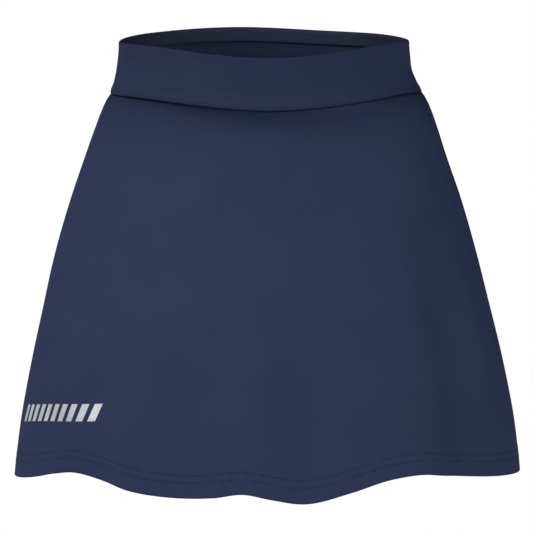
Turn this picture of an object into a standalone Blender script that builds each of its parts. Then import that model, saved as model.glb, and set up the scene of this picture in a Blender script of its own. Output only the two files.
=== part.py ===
"""A field hockey skirt, filled out as it is worn but with nobody in it.

It is a pull-on A-line skirt in heavy navy jersey: a wide doubled waistband in two halves, a front
and a back panel that flare into soft flutes, a hem turned up inside, and a flat elastic tape
sewn round the inside of the waist.

The tables and named sizes are in millimetres, and the meshes are in metres.
+X is to the viewer's right, +Y is to the back and +Z is up. The origin is the middle of the
waist, half way up the band, where the wearer's waist holds the skirt.

A point of the cloth has a turn and a level. The turn is an angle round the body, 0 at the centre
front, +90 at the seam on the viewer's right, 180 at the centre back and -90 at the other seam.
The level is how far down it lies.
"""

import math
from collections import namedtuple

import bpy
import numpy as np

MM = 0.001

# The columns of the tables. down is below the rim or the waist seam; front and back are the depths
# of an oval from the middle, and shift moves it across; rise is above level; a flute lies at turn at
# the hem and lean further round at the top, half_angle is its half width, reach how far out it swings
# at the hem (inwards if negative) and start the share of the drop where it begins.
Section = namedtuple("Section", "down half_width front back shift")
Wave = namedtuple("Wave", "turn rise")
Flute = namedtuple("Flute", "turn lean half_angle reach start")
Ring = namedtuple("Ring", "share inset thick rise_kept")

# Driving sizes.
BAND_HEIGHT = 45.0
SIDE_DROP = 334.5  # from the waist seam to the hem, straight down at the side seams

# Cloth.
PLY = 1.4  # one layer of jersey
BAND_THICK = 2.6  # the band is the cloth folded double
EDGE_ROUND = 0.7  # how far a folded edge rounds in
HEM_TURN_UP = 20.0
HEM_THICK = 2.6
TURN_UP_STEP = 1.5  # the height over which the turned-up edge steps off the panel
TAPE_WIDTH = 11.0
TAPE_THICK = 1.0
TAPE_TOP = 1.5  # below the rim
GAP = 0.3  # between pieces at a seam

# Mesh.
PANEL_COLUMNS = 52
BAND_COLUMNS = 44
TAPE_COLUMNS = 72
STEP_TURN = 0.25  # the small steps, in degrees and in shares of the way down, that give a normal
STEP_SHARE = 0.001
HALF_TURN = 90.0  # each panel and each half of the band covers this much either side of its middle
SHARP_ANGLE = 50.0  # edges sharper than this are not shaded smooth

# The band's oval, a row for each level.
BAND_SECTIONS = (
    Section(0.0, 125.6, 93.2, 92.0, -2.2),
    Section(14.0, 126.8, 93.4, 93.0, -2.1),
    Section(26.0, 128.4, 93.9, 95.0, -2.1),
    Section(36.0, 131.6, 94.8, 98.0, -1.1),
    Section(45.0, 135.2, 96.4, 101.5, -0.3),
)

# The panels' oval before the folds, a row for each level below the waist seam.
SKIRT_SECTIONS = (
    Section(0.0, 135.0, 94.8, 99.8, 0.1),
    Section(4.0, 138.0, 93.6, 101.6, 0.0),
    Section(9.0, 140.8, 92.4, 103.2, 0.0),
    Section(16.0, 143.8, 92.0, 105.5, 0.0),
    Section(31.0, 149.1, 93.4, 110.0, -0.2),
    Section(56.0, 157.4, 97.6, 117.0, -0.7),
    Section(92.0, 169.5, 105.6, 126.0, -0.8),
    Section(141.0, 183.5, 118.8, 134.5, -0.9),
    Section(190.0, 195.0, 132.4, 140.0, -0.3),
    Section(239.0, 205.8, 144.0, 144.0, 0.0),
    Section(288.0, 214.7, 153.2, 147.0, 0.1),
    Section(334.5, 220.2, 160.0, 149.0, 0.0),
)

# Where the waist dips and rises: how far it lies above level at each turn.
WAIST_LINE = (
    Wave(-90.0, 0.0),
    Wave(-46.0, -2.8),
    Wave(-20.0, -8.4),
    Wave(0.0, -11.3),
    Wave(22.0, -8.7),
    Wave(40.0, -4.0),
    Wave(60.0, 0.6),
    Wave(90.0, 0.8),
    Wave(128.0, 4.2),
    Wave(155.0, 5.9),
    Wave(190.0, 8.8),
    Wave(232.0, 5.0),
)

# The waves of the hem, a row for each crest, trough or long flank: how far above the level of
# SIDE_DROP it lies there.
HEM_LINE = (
    Wave(-90.0, 1.5),
    Wave(-76.0, 3.5),
    Wave(-64.0, 8.5),
    Wave(-55.0, 14.0),
    Wave(-46.0, 17.5),
    Wave(-38.0, 12.5),
    Wave(-32.0, 5.0),
    Wave(-26.0, 1.0),
    Wave(-19.0, -0.5),
    Wave(-12.0, 1.0),
    Wave(-5.0, 5.0),
    Wave(1.0, 0.5),
    Wave(8.0, -4.0),
    Wave(19.0, 5.0),
    Wave(28.0, 15.0),
    Wave(36.0, 18.0),
    Wave(44.0, 15.0),
    Wave(58.0, 10.0),
    Wave(74.0, 7.5),
    Wave(90.0, 7.0),
    Wave(112.0, 9.0),
    Wave(133.0, -1.0),
    Wave(156.0, 7.0),
    Wave(179.0, -2.0),
    Wave(203.0, 8.0),
    Wave(226.0, -1.0),
    Wave(248.0, 8.0),
)

# The soft flutes and the hollows between them, a row for each.
FLUTES = (
    Flute(-44.0, -6.0, 22.0, 6.0, 0.25),
    Flute(-20.0, -6.0, 16.0, -7.0, 0.3),
    Flute(-4.0, 3.0, 12.0, 3.0, 0.4),
    Flute(9.0, 4.0, 11.0, -3.0, 0.4),
    Flute(34.0, 0.0, 17.0, 5.0, 0.2),
    Flute(53.0, 0.0, 13.0, -6.0, 0.15),
    Flute(76.0, 0.0, 18.0, 3.0, 0.3),
    Flute(112.0, 0.0, 18.0, 7.0, 0.25),
    Flute(133.0, 0.0, 15.0, -8.0, 0.25),
    Flute(156.0, 2.0, 18.0, 8.0, 0.3),
    Flute(179.0, 0.0, 16.0, -7.0, 0.35),
    Flute(203.0, -2.0, 18.0, 8.0, 0.3),
    Flute(226.0, 0.0, 16.0, -8.0, 0.25),
    Flute(248.0, 0.0, 17.0, 6.0, 0.25),
)

# The shares of the way down for a panel's rings between the seam and the turn-up, and for the band's
# between its two edges.
PANEL_RINGS = (0.012, 0.03, 0.06, 0.1, 0.16, 0.23, 0.31, 0.39, 0.47, 0.55, 0.63, 0.71, 0.79, 0.87)
BAND_RINGS = (0.02, 0.3, 0.55, 0.75, 0.9, 0.98)

NAVY = (0.030, 0.040, 0.092, 1.0)
NAVY_INSIDE = (0.024, 0.032, 0.075, 1.0)
JERSEY_ROUGHNESS = 0.85


def columns(table):
    """The columns of a table as arrays, under the names that its rows have."""
    return type(table[0])(*np.array(table).T)


def smooth(at, xs, ys):
    """A curve through the points (xs, ys), read at at.

    Each stretch is a cubic whose slope at a point is the slope between its two neighbours.
    """
    slopes = np.gradient(ys, xs)
    at = np.clip(at, xs[0], xs[-1])
    k = np.clip(np.searchsorted(xs, at, side="right") - 1, 0, len(xs) - 2)
    span = xs[k + 1] - xs[k]
    s = (at - xs[k]) / span
    return (
        ys[k] * (1 + 2 * s) * (1 - s) ** 2
        + slopes[k] * span * s * (1 - s) ** 2
        + ys[k + 1] * s**2 * (3 - 2 * s)
        + slopes[k + 1] * span * s**2 * (s - 1)
    )


def section_at(table, down):
    """The oval at a level of its table."""
    known = columns(table)
    return Section(down, *(smooth(down, known.down, sizes) for sizes in known[1:]))


def ease(s):
    """From 0 to 1 and level at both ends."""
    s = np.clip(s, 0.0, 1.0)
    return s * s * (3.0 - 2.0 * s)


def bump(turn, middle, half_angle):
    """1 at the middle and 0 from half_angle away, as a squared cosine, the same all the way round."""
    away = (turn - middle + 180.0) % 360.0 - 180.0
    return np.where(np.abs(away) < half_angle, np.cos(away / half_angle * math.pi / 2) ** 2, 0.0)


def oval_point(section, turn, reach):
    """The plan point of an oval, moved out by reach, square to the oval."""
    a = np.radians(turn)
    depth = np.where(np.cos(a) > 0, section.front, section.back)
    x, y = section.half_width * np.sin(a), -depth * np.cos(a)
    out_x, out_y = depth * np.sin(a), -section.half_width * np.cos(a)
    length = np.hypot(out_x, out_y)
    return x + section.shift + reach * out_x / length, y + reach * out_y / length


def rise_at(waves, turn):
    """How far a line that runs round the body lies above level at a turn."""
    known = columns(waves)
    turns = np.concatenate([known.turn[-2:] - 360.0, known.turn, known.turn[:2] + 360.0])
    rises = np.concatenate([known.rise[-2:], known.rise, known.rise[:2]])
    return smooth((turn + 90.0) % 360.0 - 90.0, turns, rises)


def band_point(turn, share):
    """The outside of the band, where share runs from 0 at the rim to 1 at the waist seam."""
    down = share * BAND_HEIGHT
    x, y = oval_point(section_at(BAND_SECTIONS, down), turn, 0.0)
    z = BAND_HEIGHT / 2 - down + rise_at(WAIST_LINE, turn)
    return np.stack([x, y, z], axis=-1)


def flute_reach(turn, share):
    """How far the flutes push the cloth out at a turn and a share of the way down."""
    out = np.zeros(np.broadcast(turn, share).shape)
    for flute in FLUTES:
        grown = ease((share - flute.start) / (1.0 - flute.start))
        middle = flute.turn + flute.lean * (1.0 - share)
        out = out + flute.reach * grown * bump(turn, middle, flute.half_angle)
    return out


def skirt_point(turn, share):
    """The outside of a panel, where share runs from 0 at the waist seam to 1 at the hem."""
    section = section_at(SKIRT_SECTIONS, share * SIDE_DROP)
    x, y = oval_point(section, turn, flute_reach(turn, share))
    top = rise_at(WAIST_LINE, turn) - BAND_HEIGHT / 2 - GAP
    hem = rise_at(HEM_LINE, turn) - BAND_HEIGHT / 2 - GAP - SIDE_DROP
    return np.stack([x, y, top + share * (hem - top)], axis=-1)


def outward(point_at, turn, share, rise_kept):
    """The cloth's outward normal, from small steps round and down the surface.

    rise_kept is the share of its upward or downward lean that is kept, 0 where it has to be level.
    """
    low, high = np.clip(share - STEP_SHARE, 0, 1), np.clip(share + STEP_SHARE, 0, 1)
    down = point_at(turn, high) - point_at(turn, low)
    along = point_at(turn + STEP_TURN, share) - point_at(turn - STEP_TURN, share)
    normal = np.cross(down, along)
    normal[..., 2] *= rise_kept
    return normal / np.linalg.norm(normal, axis=-1, keepdims=True)


def seam_clear(point_at, share):
    """The angle that takes half a seam's gap off each side edge at this level."""
    side = point_at(np.array([HALF_TURN]), share) - point_at(np.array([HALF_TURN - 1.0]), share)
    return GAP / 2 / np.linalg.norm(side, axis=-1)


def half_wall(point_at, middle, columns_round, rings):
    """The outer and inner points of half a tube of cloth, a row for each ring from the top.

    A ring gives its share of the way down, how far in its outer face lies, its thickness and how
    much of the normal's rise is kept there.
    """
    outer, inner = [], []
    for ring in rings:
        half = HALF_TURN - seam_clear(point_at, ring.share)[0]
        turn = middle + np.linspace(-half, half, columns_round + 1)
        point = point_at(turn, ring.share)
        normal = outward(point_at, turn, ring.share, ring.rise_kept)
        outer.append(point - normal * ring.inset)
        inner.append(point - normal * (ring.inset + ring.thick))
    return np.array(outer), np.array(inner)


def grid_faces(rows, columns, start, flip):
    """Quads between neighbouring points of a grid whose first point has index start."""
    r, c = np.meshgrid(np.arange(rows - 1), np.arange(columns - 1), indexing="ij")
    a = (start + r * columns + c).ravel()
    quads = np.stack([a, a + columns, a + columns + 1, a + 1], axis=1)
    return quads[:, ::-1] if flip else quads


def closed_wall(outer, inner):
    """Points and quads of a wall that is open between its two faces on all four edges."""
    rows, columns = outer.shape[:2]
    count = rows * columns
    index = np.arange(count).reshape(rows, columns)
    rim = np.concatenate([index[:, 0], index[-1, 1:], index[-2::-1, -1], index[0, -2::-1]])
    edge = np.stack([rim[:-1], rim[:-1] + count, rim[1:] + count, rim[1:]], axis=1)
    faces = np.concatenate(
        [grid_faces(rows, columns, 0, False), grid_faces(rows, columns, count, True), edge]
    )
    return np.concatenate([outer.reshape(-1, 3), inner.reshape(-1, 3)]), faces


def ring_wall(outer, inner):
    """Points and quads of a wall that closes on itself all the way round."""
    rows, columns = outer.shape[:2]
    loop = np.concatenate([outer, inner[::-1]])
    r, c = np.meshgrid(np.arange(2 * rows), np.arange(columns), indexing="ij")
    r_next, c_next = (r + 1) % (2 * rows), (c + 1) % columns
    corners = [r * columns + c, r_next * columns + c, r_next * columns + c_next, r * columns + c_next]
    return loop.reshape(-1, 3), np.stack([k.ravel() for k in corners], axis=1)


def material(name, colour):
    """Matt jersey of this colour."""
    made = bpy.data.materials.new(name)
    made.use_nodes = True
    shader = made.node_tree.nodes["Principled BSDF"]
    shader.inputs["Base Color"].default_value = colour
    shader.inputs["Roughness"].default_value = JERSEY_ROUGHNESS
    shader.inputs["Metallic"].default_value = 0.0
    made.diffuse_color = colour
    return made


def cloth_object(name, points, faces, finish):
    """A named object of this mesh, shaded smooth."""
    mesh = bpy.data.meshes.new(name)
    mesh.from_pydata((points * MM).tolist(), [], faces.tolist())
    mesh.update()
    mesh.shade_smooth()
    mesh.set_sharp_from_angle(angle=math.radians(SHARP_ANGLE))
    mesh.materials.append(finish)
    made = bpy.data.objects.new(name, mesh)
    bpy.context.scene.collection.objects.link(made)
    return made


def skirt_panel(name, middle, finish):
    """A front or back panel: one ply, doubled where the hem is turned up, with a rounded fold below."""
    above = 1.0 - HEM_TURN_UP / SIDE_DROP
    step = above + TURN_UP_STEP / SIDE_DROP
    fold = 1.0 - EDGE_ROUND / SIDE_DROP
    rings = [Ring(0.0, 0.0, PLY, 0.0)]
    rings += [Ring(share, 0.0, PLY, 1.0) for share in (*PANEL_RINGS, above)]
    rings += [Ring(share, 0.0, HEM_THICK, 1.0) for share in (step, fold)]
    rings += [Ring(1.0, EDGE_ROUND, HEM_THICK - 2 * EDGE_ROUND, 1.0)]
    return cloth_object(name, *closed_wall(*half_wall(skirt_point, middle, PANEL_COLUMNS, rings)), finish)


def band_half(name, middle, finish):
    """Half of the waistband, with its top fold and its lower edge rounded."""
    top, bottom = (Ring(share, EDGE_ROUND, BAND_THICK - 2 * EDGE_ROUND, 0.0) for share in (0.0, 1.0))
    rings = [top, *(Ring(share, 0.0, BAND_THICK, 0.0) for share in BAND_RINGS), bottom]
    return cloth_object(name, *closed_wall(*half_wall(band_point, middle, BAND_COLUMNS, rings)), finish)


def waist_tape(name, finish):
    """The flat elastic tape inside the rim, made from the band's own points, moved in."""
    turn = np.linspace(0.0, 360.0, TAPE_COLUMNS, endpoint=False)
    outer, inner = [], []
    for down in (TAPE_TOP, TAPE_TOP + TAPE_WIDTH / 2, TAPE_TOP + TAPE_WIDTH):
        share = down / BAND_HEIGHT
        point, normal = band_point(turn, share), outward(band_point, turn, share, 0.0)
        outer.append(point - normal * (BAND_THICK + GAP))
        inner.append(point - normal * (BAND_THICK + GAP + TAPE_THICK))
    return cloth_object(name, *ring_wall(np.array(outer), np.array(inner)), finish)


def main():
    for old in list(bpy.data.objects):
        bpy.data.objects.remove(old)
    jersey = material("navy_jersey", NAVY)
    elastic = material("navy_elastic", NAVY_INSIDE)
    skirt_panel("skirt_front", 0.0, jersey)
    skirt_panel("skirt_back", 180.0, jersey)
    band_half("waistband_front", 0.0, jersey)
    band_half("waistband_back", 180.0, jersey)
    waist_tape("waist_tape", elastic)


main()
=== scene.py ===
# %% [markdown]
# # A field hockey skirt in navy jersey
#
# The real skirt is pulled on over the hips. Two panels, each cut like a slice of a wide fan, are
# joined at the sides. A wide waistband of the same cloth, folded double, holds it up, with a flat
# elastic tape inside the rim. The hem is turned up inside and held by two rows of stitches.
#
# This lesson dresses a plain fitted model of it. The model gives the size and the main form, and
# every piece below is laid on that form as a thin shell, with its creases, seams and stitches.

# %% Load the fitted model
import math
from collections import namedtuple
from functools import partial

import bpy
import numpy as np
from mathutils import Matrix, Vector


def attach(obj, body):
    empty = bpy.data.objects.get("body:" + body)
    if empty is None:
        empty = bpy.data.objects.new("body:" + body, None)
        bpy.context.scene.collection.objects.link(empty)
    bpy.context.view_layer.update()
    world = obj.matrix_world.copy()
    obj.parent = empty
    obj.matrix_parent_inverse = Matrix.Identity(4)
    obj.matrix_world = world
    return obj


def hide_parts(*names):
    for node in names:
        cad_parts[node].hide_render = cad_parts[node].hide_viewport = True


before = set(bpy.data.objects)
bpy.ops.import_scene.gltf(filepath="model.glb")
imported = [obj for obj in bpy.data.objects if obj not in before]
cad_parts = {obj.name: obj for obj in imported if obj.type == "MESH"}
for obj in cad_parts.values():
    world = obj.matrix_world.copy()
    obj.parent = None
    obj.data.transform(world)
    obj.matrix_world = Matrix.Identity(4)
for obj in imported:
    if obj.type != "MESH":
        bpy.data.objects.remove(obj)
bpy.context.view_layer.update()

print("fitted pieces:", sorted(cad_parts))

# %% [markdown]
# ## The view
#
# The photograph looks at the front from far away, a little from above, so the rim shows as a
# flat oval and the far side of the waistband is seen through it. A long lens from four metres
# gives the same flat look. The skirt hangs as it is worn, so the middle of the waist is the
# origin and the camera aims half way down the cloth.

# %% The camera
CAMERA_AWAY = 4.0
CAMERA_RISE = math.radians(5.0)
HALF_VIEW = math.radians(3.32)
AIM = Vector((0.0, 0.0, -0.174))

lens = bpy.data.cameras.new("camera")
lens.sensor_width = 36.0
lens.lens = lens.sensor_width / 2 / math.tan(HALF_VIEW)
lens.clip_end = 60.0
camera = bpy.data.objects.new("camera", lens)
back_along = Vector((0.0, -math.cos(CAMERA_RISE), math.sin(CAMERA_RISE)))
camera.location = AIM + CAMERA_AWAY * back_along
camera.rotation_euler = back_along.to_track_quat("Z", "Y").to_euler()
show = bpy.context.scene.collection.objects.link
show(camera)
bpy.context.scene.camera = camera
bpy.context.scene.view_settings.view_transform = "Standard"
print(f"lens {lens.lens:.0f} mm at {CAMERA_AWAY} m")

# %% [markdown]
# ## Light and floor
#
# The backdrop is plain white. Most of the light comes from one large soft panel, high up on the
# viewer's left, so the cloth is brighter where it flares out to face it and darker where it
# tucks in under the waistband. A weaker panel low on the right opens up the shadows, and one
# straight behind, and low, lights the back without brightening the two edges seen from the front.
#
# A light is placed by two angles, as a lamp on a boom: how far round from the front, and how
# high. The pale floor is well below the hem and fades out into the white.

# %% Lights
def soft_panel(name, round_from_front, height_angle, away, size, watts):
    """A square soft light that faces the skirt: direction = (sin a cos h, -cos a cos h, sin h)."""
    a, h = math.radians(round_from_front), math.radians(height_angle)
    toward = Vector((math.sin(a) * math.cos(h), -math.cos(a) * math.cos(h), math.sin(h)))
    lamp = bpy.data.lights.new(name, "AREA")
    lamp.size, lamp.energy = size, watts
    made = bpy.data.objects.new(name, lamp)
    made.location = AIM + away * toward
    made.rotation_euler = toward.to_track_quat("Z", "Y").to_euler()
    show(made)
    return made


soft_panel("key_light", -60.0, 48.0, 9.0, 6.0, 970.0)
soft_panel("fill_light", 50.0, 9.0, 9.0, 6.0, 505.0)
back_light = soft_panel("back_light", 180.0, 12.0, 7.0, 4.0, 420.0)
back_light.visible_glossy = False

# %% The backdrop
SKY_LIGHT = 0.02

world = bpy.data.worlds.new("white_studio")
world.use_nodes = True
bpy.context.scene.world = world
tree = world.node_tree
tree.nodes.clear()
seen, shed = tree.nodes.new("ShaderNodeBackground"), tree.nodes.new("ShaderNodeBackground")
seen.inputs["Strength"].default_value = 1.0
shed.inputs["Strength"].default_value = SKY_LIGHT
for background in (seen, shed):
    background.inputs["Color"].default_value = (1.0, 1.0, 1.0, 1.0)
choose, path = tree.nodes.new("ShaderNodeMixShader"), tree.nodes.new("ShaderNodeLightPath")
output = tree.nodes.new("ShaderNodeOutputWorld")
tree.links.new(path.outputs["Is Camera Ray"], choose.inputs[0])
tree.links.new(shed.outputs[0], choose.inputs[1])
tree.links.new(seen.outputs[0], choose.inputs[2])
tree.links.new(choose.outputs[0], output.inputs[0])

# %% [markdown]
# ## Wiring a material
#
# A material is a small graph of nodes. Two helpers keep the wiring short: one adds a node and
# sets its sockets, taking either a number or another node's output for each, and one starts a
# material and hands back its shader.

# %% Node helpers
def add(tree, kind, settings=(), **sockets):
    """A node of this kind. A socket named in words, with _ for a space, or s0, s1 by its place."""
    node = tree.nodes.new("ShaderNode" + kind)
    for name, value in dict(settings).items():
        setattr(node, name, value)
    for name, value in sockets.items():
        by_place = name[0] == "s" and name[1:].isdigit()
        socket = node.inputs[int(name[1:]) if by_place else name.replace("_", " ")]
        if isinstance(value, bpy.types.NodeSocket):
            tree.links.new(value, socket)
        else:
            socket.default_value = value
    return node


def start_material(name, **sockets):
    """A material and its shader, with these of the shader's own sockets set."""
    made = bpy.data.materials.new(name)
    made.use_nodes = True
    shader = made.node_tree.nodes["Principled BSDF"]
    for socket, value in sockets.items():
        shader.inputs[socket.replace("_", " ")].default_value = value
    return made, made.node_tree, shader


def drive(shader, **sockets):
    """Leads other nodes' outputs into these of the shader's sockets."""
    for socket, value in sockets.items():
        shader.id_data.links.new(value, shader.inputs[socket.replace("_", " ")])


def maths(tree, operation, *values):
    """The output of a Math node."""
    given = {f"s{place}": value for place, value in enumerate(values)}
    return add(tree, "Math", {"operation": operation}, **given).outputs[0]


def blend(tree, share, first, second):
    """The colour that lies this share of the way from the first to the second."""
    return add(tree, "Mix", {"data_type": "RGBA"}, s0=share, s6=first, s7=second).outputs[2]


def noise(tree, place, scale, detail):
    """Cloudy noise of this scale, in waves to the metre."""
    return add(tree, "TexNoise", Vector=place, Scale=scale, Detail=detail).outputs[0]


def mark_of(tree, name):
    """The value that each point of a piece carries under this name."""
    return add(tree, "Attribute", {"attribute_name": name}).outputs["Fac"]


def shaded(colour, times):
    """A colour made darker or paler, with the fourth number that a colour socket takes."""
    return tuple(times * part for part in colour) + (1.0,)


# %% The floor
FLOOR_LEVEL = -1.03
FLOOR_RADIUS = 4.0
FADE_FROM, FADE_TO = 2.4, 3.9  # distances from the middle, in metres
PALE = (0.64, 0.64, 0.64, 1.0)

floor_paint, tree, shader = start_material("pale_floor", Base_Color=PALE, Roughness=0.9)
place = add(tree, "TexCoord").outputs["Object"]
distance = add(tree, "VectorMath", {"operation": "LENGTH"}, s0=place).outputs["Value"]
faded = add(
    tree, "MapRange", {"interpolation_type": "SMOOTHSTEP"},
    Value=distance, From_Min=FADE_FROM, From_Max=FADE_TO, To_Min=0.0, To_Max=1.0,
).outputs[0]
clear = add(tree, "BsdfTransparent").outputs[0]
mixed = add(tree, "MixShader", s0=faded, s1=shader.outputs[0], s2=clear).outputs[0]
tree.links.new(mixed, tree.nodes["Material Output"].inputs["Surface"])

rim = np.linspace(0.0, 2 * np.pi, 96, endpoint=False)
disc = np.stack([np.cos(rim) * FLOOR_RADIUS, np.sin(rim) * FLOOR_RADIUS, rim * 0 + FLOOR_LEVEL], axis=1)
floor_mesh = bpy.data.meshes.new("floor")
floor_mesh.from_pydata(disc.tolist(), [], [list(range(len(rim)))])
floor_mesh.materials.append(floor_paint)
floor = bpy.data.objects.new("floor", floor_mesh)
show(floor)

# %% [markdown]
# ## The form of the cloth
#
# A pattern cutter draws a skirt from a few girths at known levels. So do we. Each level has an
# oval, given by its half width and its depths to the front and to the back, and a smooth curve
# runs through the levels. The waist and the hem don't lie level, so each has a line of its own.
# On top of the oval come the flutes: soft pleats that nobody pressed in, which swing in and out
# more and more towards the hem.
#
# A point of the cloth has a turn, an angle round the body from the centre front, and a share,
# how much of the way down it lies. All sizes here are in millimetres.

# %% Sizes of the skirt
BAND_HEIGHT = 45.0
SIDE_DROP = 334.5
PLY = 1.4  # one layer of jersey
DOUBLED = 2.6  # two layers pressed together
TURN_UP = 20.0
GAP = 0.3  # between pieces at a seam

Section = namedtuple("Section", "down half_width front back shift")
Wave = namedtuple("Wave", "turn rise")
Flute = namedtuple("Flute", "turn lean half_angle reach start")


def table(kind, *rows):
    """A table as a tuple of rows of one kind, so that every column has a name."""
    return tuple(kind(*row) for row in rows)


BAND_SECTIONS = table(
    Section,
    (0, 125.6, 93.2, 92, -2.2),
    (14, 126.8, 93.4, 93, -2.1),
    (26, 128.4, 93.9, 95, -2.1),
    (36, 131.6, 94.8, 98, -1.1),
    (45, 135.2, 96.4, 101.5, -0.3),
)
SKIRT_SECTIONS = table(
    Section,
    (0, 135, 94.8, 99.8, 0.1),
    (4, 138, 93.6, 101.6, 0),
    (9, 140.8, 92.4, 103.2, 0),
    (16, 143.8, 92, 105.5, 0),
    (31, 149.1, 93.4, 110, -0.2),
    (56, 157.4, 97.6, 117, -0.7),
    (92, 169.5, 105.6, 126, -0.8),
    (141, 183.5, 118.8, 134.5, -0.9),
    (190, 195, 132.4, 140, -0.3),
    (239, 205.8, 144, 144, 0),
    (288, 214.7, 153.2, 147, 0.1),
    (334.5, 220.2, 160, 149, 0),
)

# %% The waist line, the hem line and the flutes
WAIST_LINE = table(
    Wave, (-90, 0), (-46, -2.8), (-20, -8.4), (0, -11.3), (22, -8.7), (40, -4),
    (60, 0.6), (90, 0.8), (128, 4.2), (155, 5.9), (190, 8.8), (232, 5),
)
HEM_LINE = table(
    Wave, (-90, 1.5), (-76, 3.5), (-64, 8.5), (-55, 14), (-46, 17.5), (-38, 12.5),
    (-32, 5), (-26, 1), (-19, -0.5), (-12, 1), (-5, 5), (1, 0.5), (8, -4),
    (19, 5), (28, 15), (36, 18), (44, 15), (58, 10), (74, 7.5), (90, 7),
    (112, 9), (133, -1), (156, 7), (179, -2), (203, 8), (226, -1), (248, 8),
)
FLUTES = table(
    Flute,
    (-44, -6, 22, 6, 0.25),
    (-20, -6, 16, -7, 0.3),
    (-4, 3, 12, 3, 0.4),
    (9, 4, 11, -3, 0.4),
    (34, 0, 17, 5, 0.2),
    (53, 0, 13, -6, 0.15),
    (76, 0, 18, 3, 0.3),
    (112, 0, 18, 7, 0.25),
    (133, 0, 15, -8, 0.25),
    (156, 2, 18, 8, 0.3),
    (179, 0, 16, -7, 0.35),
    (203, -2, 18, 8, 0.3),
    (226, 0, 16, -8, 0.25),
    (248, 0, 17, 6, 0.25),
)

# %% Reading a table as a smooth curve
def columns(rows):
    """The columns of a table as arrays, under the names that its rows have."""
    return type(rows[0])(*np.array(rows).T)


def smooth(at, xs, ys):
    """A curve through the points (xs, ys): each stretch is a cubic, and its slope at a point is the
    slope between the two neighbours."""
    slopes = np.gradient(ys, xs)
    at = np.clip(at, xs[0], xs[-1])
    k = np.clip(np.searchsorted(xs, at, side="right") - 1, 0, len(xs) - 2)
    span = xs[k + 1] - xs[k]
    s = (at - xs[k]) / span
    return (
        ys[k] * (1 + 2 * s) * (1 - s) ** 2
        + slopes[k] * span * s * (1 - s) ** 2
        + ys[k + 1] * s**2 * (3 - 2 * s)
        + slopes[k + 1] * span * s**2 * (s - 1)
    )


def points_of(*parts):
    """Points from arrays of their x, y and, if there are three, z."""
    return np.stack(np.broadcast_arrays(*parts), axis=-1)


def unit(vectors):
    """The same directions, each of length 1."""
    return vectors / np.linalg.norm(vectors, axis=-1, keepdims=True)


def bell(at, middle, width):
    """A bell curve: e to the power of minus the square of (at - middle) / width."""
    return np.exp(-(((at - middle) / width) ** 2))


def section_at(sections, down):
    """The oval at a level of its table."""
    known = columns(sections)
    return Section(down, *(smooth(down, known.down, sizes) for sizes in known[1:]))


def ease(s):
    """From 0 to 1 and level at both ends: 3 s squared less 2 s cubed."""
    s = np.clip(s, 0.0, 1.0)
    return s * s * (3.0 - 2.0 * s)


def apart(turn, middle):
    """The angle from a middle to a turn, from -180 to 180 degrees."""
    return (turn - middle + 180.0) % 360.0 - 180.0


def from_left(turn):
    """The same turn counted on from the left seam, from -90 to 270 degrees."""
    return (turn + 90.0) % 360.0 - 90.0


def bump(turn, middle, half_angle):
    """A squared cosine that is 1 at the middle and 0 from half_angle away."""
    away = apart(turn, middle)
    return np.where(np.abs(away) < half_angle, np.cos(away / half_angle * math.pi / 2) ** 2, 0.0)


# %% The two surfaces
def oval_point(section, turn, reach):
    """x = half width times sin, y = -depth times cos, then moved out by reach, square to the oval."""
    a = np.radians(turn)
    depth = np.where(np.cos(a) > 0, section.front, section.back)
    x, y = section.half_width * np.sin(a), -depth * np.cos(a)
    out_x, out_y = depth * np.sin(a), -section.half_width * np.cos(a)
    length = np.hypot(out_x, out_y)
    return x + section.shift + reach * out_x / length, y + reach * out_y / length


def rise_at(waves, turn):
    """How far a line that runs round the body lies above level at a turn."""
    known = columns(waves)
    turns = np.concatenate([known.turn[-2:] - 360.0, known.turn, known.turn[:2] + 360.0])
    rises = np.concatenate([known.rise[-2:], known.rise, known.rise[:2]])
    return smooth(from_left(turn), turns, rises)


def band_point(turn, share):
    """The outside of the band: its oval at that level, lifted by the waist line."""
    down = share * BAND_HEIGHT
    x, y = oval_point(section_at(BAND_SECTIONS, down), turn, 0.0)
    z = BAND_HEIGHT / 2 - down + rise_at(WAIST_LINE, turn)
    return points_of(x, y, z)


def flute_reach(turn, share):
    """The sum of the flutes: each is its reach, times how far it has grown, times its bump."""
    out = np.zeros(np.broadcast(turn, share).shape)
    for flute in FLUTES:
        grown = ease((share - flute.start) / (1.0 - flute.start))
        middle = flute.turn + flute.lean * (1.0 - share)
        out = out + flute.reach * grown * bump(turn, middle, flute.half_angle)
    return out


def skirt_point(turn, share):
    """The outside of a panel: its oval and flutes at that level, between waist line and hem line."""
    section = section_at(SKIRT_SECTIONS, share * SIDE_DROP)
    x, y = oval_point(section, turn, flute_reach(turn, share))
    top = rise_at(WAIST_LINE, turn) - BAND_HEIGHT / 2 - GAP
    hem = rise_at(HEM_LINE, turn) - BAND_HEIGHT / 2 - GAP - SIDE_DROP
    return points_of(x, y, top + share * (hem - top))


STEP_SHARE, STEP_TURN = 0.001, 0.25


def outward(point_at, turn, share, rise_kept=1.0):
    """The outward normal: the cross product of a small step down and a small step round.

    rise_kept is the share of its upward or downward lean that is kept.
    """
    low, high = np.clip(share - STEP_SHARE, 0, 1), np.clip(share + STEP_SHARE, 0, 1)
    down = point_at(turn, high) - point_at(turn, low)
    along = point_at(turn + STEP_TURN, share) - point_at(turn - STEP_TURN, share)
    normal = np.cross(down, along)
    normal[..., 2] *= rise_kept
    return unit(normal)


print("hem at the centre front:", np.round(skirt_point(np.array(0.0), np.array(1.0)), 1))

# %% [markdown]
# ## The flat cut
#
# Laid flat, a panel is a slice of a fan: the waist is its inner arc, the hem its outer arc. The
# knit follows that flat cut, with its ribs running straight down the middle of each panel. So
# each piece carries its flat cut as a UV map in metres, and the weave is drawn on that. The
# creases are placed on it too, because on the flat cut a distance is a real length of cloth.

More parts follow.
